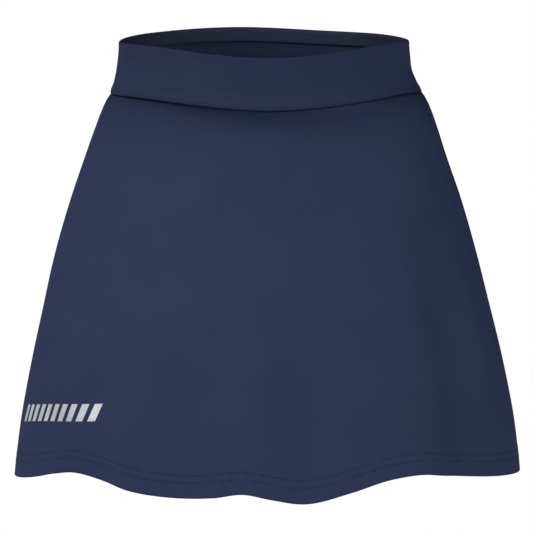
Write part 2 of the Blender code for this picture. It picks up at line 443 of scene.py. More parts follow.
# %% Where a point of a panel lies on its flat cut
FAN_RADIUS = 510.0
FAN_HALF_ANGLE = 0.355
FAN_LENGTH = 345.0


def flat_cut(turn, share, middle=0.0):
    """Polar to square: radius = inner arc + share x length, angle = turn's part of a quarter x fan."""
    angle = (turn - middle) / 90.0 * FAN_HALF_ANGLE
    radius = FAN_RADIUS + share * FAN_LENGTH
    return points_of(radius * np.sin(angle), -radius * np.cos(angle))


# %% [markdown]
# ## From a grid to a closed wall of cloth
#
# Cloth has two faces and edges. A piece is a grid of points on its outer face and the same grid
# on its inner face, with quads between neighbours and a strip of quads round the open edges. So
# it is closed, and light can't leak through it. Round its fold the outer face bends in to meet
# the inner one.

# %% Mesh helpers
def grid_quads(rows, wide, start=0, round_rows=False, round_wide=False):
    """Quads between neighbours in a grid of points, and from last to first in a way that is round."""
    ways = np.arange(rows - (not round_rows)), np.arange(wide - (not round_wide))
    r, c = np.meshgrid(*ways, indexing="ij")
    r_next, c_next = (r + 1) % rows, (c + 1) % wide
    corners = [r * wide + c, r_next * wide + c, r_next * wide + c_next, r * wide + c_next]
    return start + np.stack([corner.ravel() for corner in corners], axis=1)


def closed_wall(outer, inner):
    """Points and quads of a wall with an outer and an inner grid and a strip round all four edges."""
    rows, across = outer.shape[:2]
    count = rows * across
    index = np.arange(count).reshape(rows, across)
    rim = np.concatenate([index[:, 0], index[-1, 1:], index[-2::-1, -1], index[0, -2::-1]])
    edge = np.stack([rim[:-1], rim[:-1] + count, rim[1:] + count, rim[1:]], axis=1)
    quads = [grid_quads(rows, across), grid_quads(rows, across, count)[:, ::-1], edge]
    return np.concatenate([outer.reshape(-1, 3), inner.reshape(-1, 3)]), np.concatenate(quads)


def loop_wall(loop):
    """Points and quads of a tube: rows of points that close on themselves both ways."""
    return loop.reshape(-1, 3), grid_quads(*loop.shape[:2], round_rows=True, round_wide=True)


def joined(parts):
    """The points and quads of several meshes, all of one size, as one mesh."""
    quads = [quads + place * len(parts[0][0]) for place, (_, quads) in enumerate(parts)]
    return np.concatenate([points for points, _ in parts]), np.concatenate(quads)


def both_faces(values):
    """The marks or the flat cut of an outer face, said again for the inner face."""
    return np.concatenate([values, values])


SHARP_ANGLE = math.radians(60.0)


def make_piece(name, points, quads, finish, flat=None, slot="jersey", **marks):
    """A piece from points in millimetres and quads, with its flat cut and any marks per point."""
    mesh = bpy.data.meshes.new(name)
    mesh.vertices.add(len(points))
    mesh.vertices.foreach_set("co", (points * 0.001).astype(np.float32).ravel())
    mesh.loops.add(quads.size)
    mesh.loops.foreach_set("vertex_index", quads.astype(np.int32).ravel())
    mesh.polygons.add(len(quads))
    mesh.polygons.foreach_set("loop_start", np.arange(0, quads.size, 4, dtype=np.int32))
    mesh.update(calc_edges=True)
    if flat is not None:
        layer = mesh.uv_layers.new(name="flat_cut")
        layer.data.foreach_set("uv", (flat[quads.ravel()] * 0.001).astype(np.float32).ravel())
    for mark, value in marks.items():
        layer = mesh.attributes.new(mark, "FLOAT", "POINT")
        layer.data.foreach_set("value", value.astype(np.float32).ravel())
    mesh.validate()
    mesh.shade_smooth()
    mesh.set_sharp_from_angle(angle=SHARP_ANGLE)
    mesh.materials.append(finish)
    piece = bpy.data.objects.new(name, mesh)
    show(piece)
    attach(piece, "root")
    print(f"{name}: {len(quads) * 2} triangles")
    return piece


# %% [markdown]
# ## The jersey
#
# Heavy sports jersey is knitted from fine polyester. Seen close it is rows of small V-shaped
# loops, about eleven ribs and twelve rows to the centimetre, and seen from arm's length it is
# an even matt navy with a faint bloom where it is rubbed. So the material has three scales: a
# bump that draws the loops on the flat cut, a fine fleck from yarn to yarn, and a slow drift of
# tone over the panel. Cloth beside a side seam is a little paler, where it wears. Along the
# waist seam, the rim and the hem painted shade darkens it, darkest in the needle holes.

# %% The knitted bump
RIB = 0.0009  # from rib to rib, in metres
ROW = 0.0008  # from row to row of loops


def knit_height(tree):
    """Height of the loops: a round ridge for each rib, times a wave down it that is bent into a V."""
    m = partial(maths, tree)
    flat = add(tree, "UVMap", {"uv_map": "flat_cut"}).outputs[0]
    place = add(tree, "SeparateXYZ", s0=flat)
    rib = m("DIVIDE", place.outputs["X"], RIB)
    across = m("SUBTRACT", m("FRACT", rib), 0.5)
    off_middle = m("ABSOLUTE", across)
    bent = m("ADD", m("DIVIDE", place.outputs["Y"], ROW), off_middle)
    wave = m("SINE", m("MULTIPLY", bent, 2 * math.pi))
    crown = m("SUBTRACT", 1.0, m("MULTIPLY", off_middle, 2.0))
    rounded = m("POWER", crown, 0.6)
    return m("MULTIPLY", rounded, m("MULTIPLY_ADD", wave, 0.25, 0.75))


# %% The navy
NAVY = (0.0215, 0.0310, 0.0770)


def jersey(name, tone):
    """Matt knitted jersey. tone scales the navy, and noise at two sizes varies it. A mark per point
    paints shade in, and half way between two stitches is a needle hole with painted shade, and white noise
    says how dark each one is."""
    made, tree, shader = start_material(name, Roughness=0.82, Specular_IOR_Level=0.14)
    m = partial(maths, tree)
    # The two darkest colours are painted shade: the navy as in the shadow at seam, rim and hem, and inside
    # the needle holes.
    dark, pale, rubbed, shade_colour, hole_shade = (
        shaded(NAVY, times * tone) for times in (0.93, 1.07, 1.45, 0.3, 0.1)
    )
    place = add(tree, "TexCoord").outputs["Object"]
    drift = noise(tree, place, 22.0, 3.0)
    fleck = noise(tree, place, 1400.0, 2.0)
    both = m("MULTIPLY_ADD", fleck, 0.45, m("MULTIPLY", drift, 0.55))
    spread = add(tree, "MapRange", Value=both, From_Min=0.35, From_Max=0.65).outputs[0]
    cloth = blend(tree, spread, dark, pale)
    worn, sunk, needle, run = (mark_of(tree, mark) for mark in ("worn", "sunk", "needle", "run"))
    from_bar = m("ABSOLUTE", m("SUBTRACT", m("FRACT", run), 0.5))
    hole = m("POWER", m("MULTIPLY", from_bar, 2.0), 2.0)
    which = m("ROUND", run)
    chance = add(tree, "TexWhiteNoise", {"noise_dimensions": "1D"}, W=which).outputs[0]
    pull = m("MULTIPLY_ADD", m("POWER", chance, 2.0), 1.15, 0.2)
    # Painted shade in each needle hole, only along the rows of stitches.
    hole_shade_mask = m("MULTIPLY", needle, m("MULTIPLY", hole, pull))
    colour = blend(tree, worn, cloth, rubbed)
    # Painted shade from the mark per point, then painted shade in the needle holes.
    deep = blend(tree, sunk, colour, shade_colour)
    with_hole_shade = blend(tree, hole_shade_mask, deep, hole_shade)
    loops = add(tree, "Bump", Strength=0.6, Distance=0.00012, Height=knit_height(tree)).outputs[0]
    pill = noise(tree, place, 420.0, 3.0)
    fuzz = add(tree, "Bump", Strength=0.25, Distance=0.0002, Height=pill, Normal=loops).outputs[0]
    drive(shader, Base_Color=with_hole_shade, Normal=fuzz)
    return made


panel_jersey = jersey("panel_jersey", 1.0)
band_jersey = jersey("band_jersey", 0.85)

# %% [markdown]
# ## Creases
#
# No garment hangs perfectly smooth. The real one has a deep tuck all along under the waistband,
# a long slanting drag line from the belly towards the hem, and a hollow on each side where the
# cloth swings between hip and leg. A crease here is a short route over the flat cut with a
# height, which is negative for a trough, and a width. Its cross-section is a bell curve, and it
# dies away at both ends. The back isn't seen in the photograph, so it gets similar ones, placed
# so that no two are alike.

# %% The table of creases
Crease = namedtuple("Crease", "height width route")  # route is (turn, millimetres down) pairs

CREASES = table(
    Crease,
    (-3, 26, ((-59, 0), (-56, 70), (-54, 160))),
    (-2.6, 26, ((-37, 0), (-36, 60), (-35, 150))),
    (-2, 26, ((-14, 0), (-10, 60), (-3, 160))),
    (-1.2, 26, ((4, 0), (5, 40), (7, 90))),
    (-3, 26, ((23, 0), (25, 60), (27, 160))),
    (-1.5, 26, ((46, 0), (45, 40), (44, 90))),
    (-1, 26, ((60, 50), (58, 100), (57, 170))),
    (-2.2, 26, ((81, 0), (79, 70), (80, 160))),
    (-1.4, 26, ((32, 130), (34, 180), (35, 250))),
    (1.3, 26, ((65, 200), (67, 260), (68, 330))),
    (0.8, 26, ((-17, 200), (-15, 270), (-14, 330))),
    (0.7, 26, ((-37, 210), (-35, 270), (-34, 330))),
    (-1.3, 11, ((-66, 14), (-65, 40), (-63, 80))),
    (-1.3, 11, ((36, 14), (35, 40), (33, 80))),
    (-1, 11, ((-26, 14), (-25, 40), (-24, 80))),
    (-0.8, 11, ((13, 14), (15, 40), (16, 80))),
    (-2.6, 26, ((112, 0), (114, 50), (118, 100))),
    (-1.8, 26, ((140, 0), (139, 46), (141, 110))),
    (-2.2, 26, ((166, 0), (168, 52), (170, 96))),
    (-1.4, 26, ((192, 0), (190, 40), (191, 90))),
    (-2.6, 26, ((218, 0), (216, 50), (219, 110))),
    (-2.2, 26, ((243, 0), (244, 48), (240, 104))),
    (-1.8, 26, ((150, 80), (152, 130), (150, 180))),
    (-2.3, 26, ((206, 70), (203, 120), (202, 170))),
    (0.9, 26, ((196, 220), (198, 270), (199, 330))),
    (0.8, 26, ((160, 210), (158, 262), (158, 330))),
    (-0.9, 9, ((14, 24), (6, 60), (2, 98), (3.5, 150))),
    (-0.7, 8, ((5, 170), (5.8, 224), (5.8, 279), (6, 330))),
    (0.7, 9, ((-3, 60), (-6, 110), (-4, 180))),
    (-1.6, 10, ((64, 30), (66, 84), (57, 130))),
    (-1.6, 11, ((52, 120), (48, 165), (49, 215), (50, 300))),
    (1.3, 12, ((63, 140), (63.5, 200), (64, 260))),
    (-1.3, 10, ((-38, 130), (-36, 165), (-33, 206), (-27, 300))),
    (0.9, 11, ((-46, 110), (-48, 190), (-47, 300))),
    (-0.8, 9, ((-70, 20), (-66, 70), (-68, 130))),
    (-0.6, 6, ((-22, 14), (-24, 40), (-23, 70))),
    (-0.5, 6, ((30, 16), (29, 44), (31, 80))),
    (-1.4, 10, ((118, 24), (122, 80), (130, 150))),
    (-1.2, 10, ((168, 30), (174, 96), (178, 170), (179, 240))),
    (0.9, 11, ((160, 70), (157, 150), (156, 250))),
    (-1, 9, ((206, 20), (198, 66), (194, 120))),
    (-1.5, 11, ((238, 60), (232, 130), (227, 220))),
    (0.8, 10, ((216, 130), (208, 200), (204, 290))),
    (-0.7, 7, ((146, 14), (144, 50), (145, 90))),
)


def crease_height(crease, place, middle):
    """height x bell curve of the distance to the route / width, x a sine from end to end, which
    starts and stops a little short of 0."""
    route = np.array(crease.route)
    steps = np.linspace(0.0, len(route) - 1.0, 28)
    known = np.arange(len(route)) * 1.0
    turn, down = smooth(steps, known, route[:, 0]), smooth(steps, known, route[:, 1])
    line = flat_cut(turn, down / SIDE_DROP, middle)
    off_line = place[..., None, :] - line
    square = (off_line**2).sum(axis=-1)
    nearest = square.argmin(axis=-1)
    along = nearest / (len(steps) - 1.0)
    fade = np.sin(np.pi * (0.06 + 0.88 * along)) ** 0.8
    return crease.height * fade * np.exp(-square.min(axis=-1) / (2 * crease.width**2))


# %% The tuck under the waistband, and the cloth along the seams
TUCK_DEPTH = 2.0  # at the centre front, where the belly of the band stands furthest out
TUCK_FULL, TUCK_HELD, TUCK_FADE = 6.0, 7.0, 34.0  # how far down it is full, held, and over what it fades
EDGE_DRAW, EDGE_DOWN = 0.9, 3.2  # how far the top edge is drawn in, and over what height
SWELL, UNEVEN, SWELL_UP = 0.18, 0.07, 14.0  # the doubled hem stands off, most at this height
GROOVE, GROOVE_WIDTH = 0.12, 0.75  # under a row of stitches
STITCH_ROWS = (13.3, 19.6)  # above the hem


def panel_relief(turn, share, middle):
    """How far a panel stands off its smooth form: creases, the tuck under the band, and the hem."""
    place = flat_cut(turn, share, middle)
    relief = sum(crease_height(crease, place, middle) for crease in CREASES if mine(crease, middle))
    down = share * SIDE_DROP
    facing = np.cos(np.radians(turn - middle))
    tuck = ease(down / TUCK_FULL) * (1.0 - ease((down - TUCK_HELD) / TUCK_FADE))
    step = EDGE_DRAW * (1.0 - ease(down / EDGE_DOWN))
    slack = (0.1 + 0.9 * facing) * (1.0 - 0.62 * bump(turn, -42.0, 34.0))
    relief = relief - slack * TUCK_DEPTH * tuck - (0.2 + 0.8 * facing) * step
    up = (1.0 - share) * SIDE_DROP
    near_hem = ease(1.0 - np.abs(up - SWELL_UP) / SWELL_UP)
    wobble = np.sin(np.radians(turn * 31.0)) + 0.7 * np.sin(np.radians(turn * 47.0 + 40.0))
    return relief + near_hem * (SWELL + UNEVEN * wobble)


def mine(crease, middle):
    """Whether a crease lies on the panel round this middle."""
    return abs(apart(crease.route[0][0], middle)) < 90.0


def groove_depth(share):
    """The outer face sinks under each row of hem stitches: a narrow bell curve for each row."""
    up = (1.0 - share) * SIDE_DROP
    return sum(GROOVE * bell(up, row, GROOVE_WIDTH) for row in STITCH_ROWS)


def seam_shade(turn):
    """How dark the painted shade on the line of the waist seam is: less on the left, where it lies open to
    the light.
    """
    return 0.85 - 0.75 * bump(turn, -68.0, 50.0)


# %% How many stitches lie between the left seam and a turn
STITCH_PITCH = 2.55

hem_turn = np.linspace(-90.0, 270.0, 7201)
hem_row = skirt_point(hem_turn, np.full(hem_turn.shape, 1.0 - sum(STITCH_ROWS) / 2 / SIDE_DROP))
hem_run = np.concatenate([[0.0], np.cumsum(np.linalg.norm(np.diff(hem_row, axis=0), axis=1))])
STITCHES = round(hem_run[-1] / STITCH_PITCH)
hem_run *= STITCHES / hem_run[-1]
print(f"{STITCHES} stitches in each row of the hem")


# %% [markdown]
# ## The panels
#
# The rows of the grid are close together where the cloth bends sharply: at the tuck and round
# the hem. The hem is a rounded fold, and the turned-up ply ends in a small step inside. Along
# each side the panel rolls in to the seam, and 0.3 mm is left between the panels.

# %% Rows and columns of a panel
def panel_rows():
    """Shares of the way down: fine at the tuck and the hem, and wider between."""
    straight_end = SIDE_DROP - DOUBLED / 2
    stops = (0.0, 12.0, 48.0, 306.0, 312.5, 323.5, straight_end)
    steps = (12, 18, 53, 5, 25, 7)  # between each two stops
    parts = [np.linspace(*ends, count + 1)[1:] for *ends, count in zip(stops, stops[1:], steps)]
    return np.concatenate([[0.0], *parts]) / SIDE_DROP


def seam_to_seam(middle, point_at, share, count, crowd=0.5):
    """Turns from seam to seam, closer together near both, and half a gap clear of each."""
    s = np.linspace(-1.0, 1.0, count)
    s = (1.0 - crowd) * s + crowd * np.sin(s * math.pi / 2)
    side = point_at(np.array(middle + 90.0), share) - point_at(np.array(middle + 89.0), share)
    half = 90.0 - GAP / 2 / np.linalg.norm(side, axis=-1)
    return middle + s[None, :] * half[:, None], s


def from_seam(s, radius):
    """Millimetres round the body from the nearer seam, at this mean distance from the axis."""
    return (1.0 - np.abs(s)) * 90.0 * math.radians(1.0) * radius


ROUND_STEPS = np.radians([18.0, 36.0, 54.0, 70.0, 82.0])
ROLL_WIDTH = 1.6  # how far from a side seam the cloth rolls in to it
PANEL_ROLL, BAND_ROLL = 0.55, 0.5
PANEL_RADIUS, BAND_RADIUS = 120.0, 95.0
NEEDLE_WIDTH = 0.85
SECOND_ROW = 3000.0  # added to the count of stitches, so that no two needle holes are alike


def panel_grids(middle, count):
    """The outer and inner points of a panel, its turns and shares, and its marks for the jersey."""
    straight = panel_rows()
    radius = DOUBLED / 2
    share = np.concatenate([straight, straight[-1] + radius * np.sin(ROUND_STEPS) / SIDE_DROP])
    inset = np.concatenate([straight * 0.0, radius * (1.0 - np.cos(ROUND_STEPS))])
    turned = np.clip((share * SIDE_DROP - (SIDE_DROP - TURN_UP)) / 0.5, 0.0, 1.0)
    thick = PLY + (DOUBLED - PLY) * turned
    thick = np.where(inset > 0, DOUBLED - 2 * inset, thick)
    turn, s = seam_to_seam(middle, skirt_point, share, count)
    rows = share[:, None]
    kept = ease(rows / 0.012)[..., None]
    point = skirt_point(turn, rows)
    normal = outward(skirt_point, turn, rows)
    normal = unit(normal * [1.0, 1.0, 0.0] * (1 - kept) + normal * kept)
    point = point + normal * panel_relief(turn, rows, middle)[..., None]
    off_seam = from_seam(s, PANEL_RADIUS)
    roll = PANEL_ROLL * bell(off_seam, 0.0, ROLL_WIDTH)
    roll = roll[None, :] * ease(rows * SIDE_DROP / 12.0)
    outer = point - normal * (inset[:, None] + roll + groove_depth(rows))[..., None]
    inner = point - normal * (inset + thick)[:, None, None]
    worn = 0.12 * bell(off_seam, 1.5, 1.5)[None, :]
    down, up = rows * SIDE_DROP, (1.0 - rows) * SIDE_DROP
    beside = ease((np.abs(turn - middle) - 26.0) / 32.0)
    # Painted shade along the waist seam, below it where the band throws shadow, and at the hem's edge.
    sunk = 0.8 * seam_shade(turn) * bell(down, 0.0, 0.9)
    sunk = sunk + (0.04 + 0.56 * beside) * np.exp(-down / 19.0)
    sunk = sunk + 0.25 * bell(up, 0.0, 1.2)
    marks = {
        "worn": worn, "sunk": sunk,
        "run": np.interp(turn, hem_turn, hem_run) + SECOND_ROW * (up > sum(STITCH_ROWS) / 2),
        # needle marks the rows of stitches, where the needle holes get painted shade.
        "needle": sum(bell(up, row, NEEDLE_WIDTH) for row in STITCH_ROWS),
    }
    return outer, inner, turn, np.broadcast_to(rows, turn.shape), marks


# %% Front and back panel
PANEL_COLUMNS = 300


def skirt_panel(name, node, middle):
    """A panel of the skirt, from the waist seam to the hem, in place of its fitted node."""
    outer, inner, turn, share, marks = panel_grids(middle, PANEL_COLUMNS)
    points, quads = closed_wall(outer, inner)
    flat = flat_cut(turn, share, middle).reshape(-1, 2)
    marks = {
        mark: both_faces(np.broadcast_to(value, turn.shape).ravel()) for mark, value in marks.items()
    }
    piece = make_piece(name, points, quads, panel_jersey, both_faces(flat), **marks)
    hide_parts(node)


skirt_panel("front_panel", "skirt_front", 0.0)
skirt_panel("back_panel", "skirt_back", 180.0)

# %% [markdown]
# ## The waistband
#
# The band is one strip for each half, folded along the rim, so its top is a soft roll and never
# a sharp edge. It is stretched round the waist, so it is almost smooth. Its lower edge stands a
# little proud of the skirt, with a low roll above the seam, where four layers meet, and short
# level creases, most of them near the sides, where a waist bends.

# %% The creases of the band
BandCrease = namedtuple("BandCrease", "turn half_angle down width height")

BAND_CREASES = table(
    BandCrease,
    (-66, 22, 15, 2.2, -0.30),
    (-58, 20, 22, 2.4, -0.34),
    (-70, 18, 29, 2, -0.22),
    (62, 20, 20, 2.4, -0.28),
    (70, 16, 28, 2, -0.24),
    (-10, 40, 30, 4, -0.20),
    (14, 36, 12, 4, 0.15),
    (120, 24, 18, 2.4, -0.30),
    (150, 30, 27, 3, -0.25),
    (205, 26, 16, 2.6, -0.26),
    (242, 20, 25, 2.2, -0.32),
)


def band_relief(turn, share):
    """The level creases, each a bump round the body times a bell curve down it, and the roll."""
    down = share * BAND_HEIGHT
    relief = 0.5 * bell(down - BAND_HEIGHT, -4.0, 2.6)
    relief = relief + 0.25 * bell(down, 2.2, 1.8)
    for crease in BAND_CREASES:
        line = crease.down + 1.5 * np.sin(np.radians(turn * 5.0 + crease.down * 20.0))
        reach = crease.height * bump(turn, crease.turn, crease.half_angle)
        relief = relief + reach * bell(down, line, crease.width)
    return relief


# %% Both halves of the band
BAND_COLUMNS = 260
BAND_LOWER_ROUND = 0.7
BAND_MM_PER_DEGREE = 2.05


def band_half(name, node, middle):
    """Half of the waistband, with its folded rim and its lower edge rounded."""
    top, low = DOUBLED / 2, BAND_LOWER_ROUND
    straight = np.linspace(top, BAND_HEIGHT - low, 44)
    down = np.concatenate([
        top * (1.0 - np.sin(ROUND_STEPS[::-1])), straight, BAND_HEIGHT - low * (1.0 - np.sin(ROUND_STEPS))
    ])
    share = down / BAND_HEIGHT
    inset = np.concatenate([
        top * (1.0 - np.cos(ROUND_STEPS[::-1])), straight * 0.0, low * (1.0 - np.cos(ROUND_STEPS))
    ])
    turn, s = seam_to_seam(middle, band_point, share, BAND_COLUMNS, 0.6)
    rows = share[:, None]
    normal = outward(band_point, turn, rows, 0.0)
    point = band_point(turn, rows) + normal * band_relief(turn, rows)[..., None]
    roll = BAND_ROLL * bell(from_seam(s, BAND_RADIUS), 0.0, ROLL_WIDTH)
    roll = roll[None, :] * ease((BAND_HEIGHT - down) / 10.0)[:, None]
    outer = point - normal * (inset[:, None] + roll)[..., None]
    inner = band_point(turn, rows) - normal * (DOUBLED - inset)[:, None, None]
    points, quads = closed_wall(outer, inner)
    round_mm = (turn - middle) * BAND_MM_PER_DEGREE
    flat = points_of(round_mm, -rows * BAND_HEIGHT).reshape(-1, 2)
    at_rim = bell(down, 0.0, 1.0)[:, None]
    at_seam = bell(BAND_HEIGHT - down, 0.0, 0.8)[:, None]
    # Painted shade along the rim, most towards the sides, along the waist seam, and a little above that.
    side = np.sin(np.radians(turn))
    rim_shade = (0.55 if middle == 0.0 else 0.72) + 0.3 * side**2 + 0.15 * np.clip(side, 0.0, 1.0) ** 2
    flare_shade = 0.2 * np.exp(-(BAND_HEIGHT - down) / 5.0)[:, None]
    sunk = (seam_shade(turn) * at_seam + flare_shade + rim_shade * at_rim).ravel()
    piece = make_piece(name, points, quads, band_jersey, both_faces(flat), sunk=both_faces(sunk))
    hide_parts(node)


band_half("front_band", "waistband_front", 0.0)
band_half("back_band", "waistband_back", 180.0)

# %% [markdown]
# ## The elastic tape
#
# Inside the rim runs a flat woven elastic. Its face has fine upright ribs, one for each rubber
# cord, and its two edges are thin and smooth. It shows in the photograph as a strip below the
# far rim. It is one loop, so its section is carried all the way round and closes on itself.

# %% Ribbed elastic
RUBBER_CORD, WEFT = 0.0012, 0.0011  # from rib to rib and from yarn to yarn, in metres


def elastic(name):
    """Matt woven tape: sines across the loop give the ribs, and their floor is a little darker."""
    made, tree, shader = start_material(name, Roughness=0.7, Specular_IOR_Level=0.25)
    m = partial(maths, tree)
    flat = add(tree, "UVMap", {"uv_map": "flat_cut"}).outputs[0]
    place = add(tree, "SeparateXYZ", s0=flat)
    rib = m("SINE", m("MULTIPLY", place.outputs["X"], 2 * math.pi / RUBBER_CORD))
    cord = m("SINE", m("MULTIPLY", place.outputs["Y"], 2 * math.pi / WEFT))
    weave = m("MULTIPLY_ADD", rib, 0.35, m("MULTIPLY_ADD", cord, 0.15, 0.5))
    dark, pale, in_shade = (0.013, 0.019, 0.045, 1.0), (0.022, 0.031, 0.070, 1.0), (0.005, 0.007, 0.016, 1.0)
    colour = blend(tree, weave, dark, pale)
    # Painted shade from the tape's mark darkens the weave towards the shade colour.
    deep = blend(tree, mark_of(tree, "sunk"), colour, in_shade)
    ribs = add(tree, "Bump", Strength=0.7, Distance=0.0002, Height=weave).outputs[0]
    drive(shader, Base_Color=deep, Normal=ribs)
    return made


TAPE_TOP, TAPE_WIDTH, TAPE_THICK = 1.5, 11.0, 1.0
TAPE_MM_PER_DEGREE = 1.87
tape_turn = np.linspace(0.0, 360.0, 720, endpoint=False)
across = np.array([0.0, 0.25, 0.8, 2.5, 5.5, 8.5, 10.2, 10.75, 11.0])
face = np.array([0.38, 0.12, 0.0, 0.04, 0.06, 0.04, 0.0, 0.12, 0.38])
tape_share = ((TAPE_TOP + across) / BAND_HEIGHT)[:, None]
tape_point = band_point(tape_turn[None, :], tape_share)
tape_normal = outward(band_point, tape_turn[None, :], tape_share, 0.0)
near = tape_point - tape_normal * (DOUBLED + GAP + face[:, None, None])
far = tape_point - tape_normal * (DOUBLED + GAP + TAPE_THICK - face[:, None, None])
tape_points, tape_quads = loop_wall(np.concatenate([near, far[::-1]]))
tape_flat = points_of(tape_turn[None, :] * TAPE_MM_PER_DEGREE, across[:, None])
tape_flat = np.concatenate([tape_flat, tape_flat[::-1]]).reshape(-1, 2)
side = np.sin(np.radians(tape_turn))[None, :]
# Painted shade on the tape: darker towards both sides, most on the right, and along its top edge.
tape_sunk = 0.5 * side**2 + 0.4 * np.clip(side, 0.0, 1.0) ** 2 + 0.5 * np.exp(-across / 0.6)[:, None]
tape_sunk = np.concatenate([tape_sunk, tape_sunk[::-1]]).ravel()
rim_tape = make_piece(
    "rim_tape", tape_points, tape_quads, elastic("ribbed_elastic"), tape_flat, "elastic", sunk=tape_sunk
)
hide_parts("waist_tape")

# %% [markdown]
# ## Thread
#
# A stitch is a short bar of thread that dives into the cloth at both ends. One small bar is
# made once, as rings along its length, and then copied along a row by array sums: its three
# directions are the row's own direction, the cloth's outward normal, and the cross product of
# those two.

# %% Thread and stitches
def thread(name, colour):
    """Twisted polyester thread: fine noise in its tone and its bump stands for the twist."""
    made, tree, shader = start_material(name, Roughness=0.6, Specular_IOR_Level=0.2)
    place = add(tree, "TexCoord").outputs["Object"]
    twist = noise(tree, place, 2600.0, 2.0)
    mixed = blend(tree, twist, shaded(colour, 0.8), shaded(colour, 1.25))
    strands = add(tree, "Bump", Strength=0.5, Distance=0.0001, Height=twist).outputs[0]
    drive(shader, Base_Color=mixed, Normal=strands)
    return made


navy_thread = thread("navy_thread", (0.023, 0.033, 0.080))


def stitch_bars(middle, along, out, length, radius, lift):
    """Bars of thread: a ring of six points at each station, copied to each middle."""
    station = np.array([-0.5, -0.42, -0.2, 0.2, 0.42, 0.5])[:, None]
    fat = np.array([0.3, 0.8, 1.0, 1.0, 0.8, 0.3])[:, None]
    a = np.linspace(0.0, 2 * np.pi, 6, endpoint=False)[None, :]
    dive = lift - 1.7 * radius * (2 * station) ** 4
    t = np.broadcast_to(station * length, (6, 6)).ravel()
    o = (dive + radius * fat * np.cos(a)).ravel()
    b = (radius * fat * np.sin(a)).ravel()
    side = np.cross(along, out)
    bar = (
        middle[:, None, :] + along[:, None, :] * t[:, None]
        + out[:, None, :] * o[:, None] + side[:, None, :] * b[:, None]
    )
    quads = grid_quads(6, 6, round_wide=True)[:, [0, 3, 2, 1]]
    ends = np.array([[0, 3, 2, 1], [0, 5, 4, 3], [30, 31, 32, 33], [30, 33, 34, 35]])
    one = np.concatenate([quads, ends])
    every = one[None] + (np.arange(len(middle)) * 36)[:, None, None]
    return bar.reshape(-1, 3), every.reshape(-1, 4)


# %% [markdown]
# ## The hem stitching
#
# A coverstitch machine has two needles 6.4 mm apart. On the outside it leaves two straight rows
# of short bars, a little sunk into the cloth. On the inside one looper thread runs to and fro
# between the rows and covers the raw edge of the turned-up ply.

# %% Two rows outside
def cloth_at(turn, share):
    """The smooth outer point of whichever panel is there, its normal, and how far the cloth stands off."""
    turn = from_left(turn)
    front, back = (panel_relief(turn, share, middle) for middle in (0.0, 180.0))
    return skirt_point(turn, share), outward(skirt_point, turn, share), np.where(turn < 90.0, front, back)


def on_panel(turn, share):
    """The outer face there, with its creases and its stitch grooves, and its normal."""
    point, normal, relief = cloth_at(turn, share)
    return point + normal * (relief - groove_depth(share))[..., None], normal


def inside(turn, share, deeper, thick=PLY):
    """A point on the inside, deeper millimetres in from cloth this thick, and its normal."""
    point, normal, relief = cloth_at(turn, share)
    return point + normal * (relief - thick - deeper)[..., None], normal


def row_of_stitches(up):
    """A bar half way between each two needle holes of the row that lies this far above the hem."""
    turn = np.interp(np.arange(STITCHES) + 0.5, hem_run, hem_turn)
    share = np.full(turn.shape, 1.0 - up / SIDE_DROP)
    middle, normal = on_panel(turn, share)
    along = on_panel(turn + 0.2, share)[0] - on_panel(turn - 0.2, share)[0]
    along = unit(along)
    return stitch_bars(middle, along, normal, STITCH_LENGTH, STITCH_RADIUS, STITCH_LIFT)


STITCH_LENGTH, STITCH_RADIUS, STITCH_LIFT = 1.55, 0.26, 0.06

stitch_sets = [row_of_stitches(up) for up in STITCH_ROWS]
make_piece("hem_stitches", *joined(stitch_sets), navy_thread)

# %% The looper thread inside
def tube(path, radius, up, sides=5, closed=True):
    """A round cord along a path: a ring square to the path at each point, turned by up."""
    step = np.roll(path, -1, axis=0) - np.roll(path, 1, axis=0)
    if not closed:
        step[0], step[-1] = path[1] - path[0], path[-1] - path[-2]
    along = unit(step)
    side = unit(np.cross(along, up))
    over = np.cross(side, along)
    a = np.linspace(0.0, 2 * np.pi, sides, endpoint=False)[None, :, None]
    ring = path[:, None, :] + radius * (np.cos(a) * over[:, None, :] + np.sin(a) * side[:, None, :])
    if closed:
        return loop_wall(ring.transpose(1, 0, 2))
    ring = np.concatenate([path[:1, None, :].repeat(sides, 1), ring, path[-1:, None, :].repeat(sides, 1)])
    rings = ring.transpose(1, 0, 2)
    return rings.reshape(-1, 3), grid_quads(*rings.shape[:2], round_rows=True)


LOOPER_RADIUS, LOOPER_DEEPER = 0.22, 0.25
PAST_EDGE = 0.9  # how far the looper thread reaches past the upper row

loop_turn = np.interp(np.arange(STITCHES * 4) / 4.0, hem_run, hem_turn)
sway = np.tile([0.0, 1.0, 1.0, 0.0], STITCHES)
loop_up = STITCH_ROWS[0] + (STITCH_ROWS[1] + PAST_EDGE - STITCH_ROWS[0]) * sway
hem_ply = np.where(loop_up < TURN_UP - 0.2, DOUBLED, PLY)
looper_path, looper_up = inside(loop_turn, 1.0 - loop_up / SIDE_DROP, LOOPER_DEEPER, hem_ply)
make_piece("hem_looper", *tube(looper_path, LOOPER_RADIUS, looper_up), navy_thread)

# %% [markdown]
# ## Inside the seams
#
# Each side seam is sewn by an overlock machine, which trims both edges to 7 mm and wraps them
# in thread, and the doubled edge is pressed to the back. The waist seam is made the same way
# and hangs down inside the skirt, and its top rows close the gap over the panels' top edge.
# They show only from above and from below, so each is a thin strip inside the panels.

# %% Seam allowances
SEAM_ALLOWANCE = 7.0
ALLOWANCE_THICK = 1.7  # two trimmed edges, pressed
WRAP_RADIUS = 0.2
WAVE = 17.0  # an allowance lifts and falls a little down the seam, and this sets how fast
seam_jersey = jersey("seam_jersey", 0.9)


def per_degree(point_at, seam, share):
    """Millimetres round the body for each degree of turn, at a seam."""
    ahead, behind = (point_at(np.full(share.shape, seam + half), share) for half in (0.5, -0.5))
    return np.linalg.norm(ahead - behind, axis=-1)


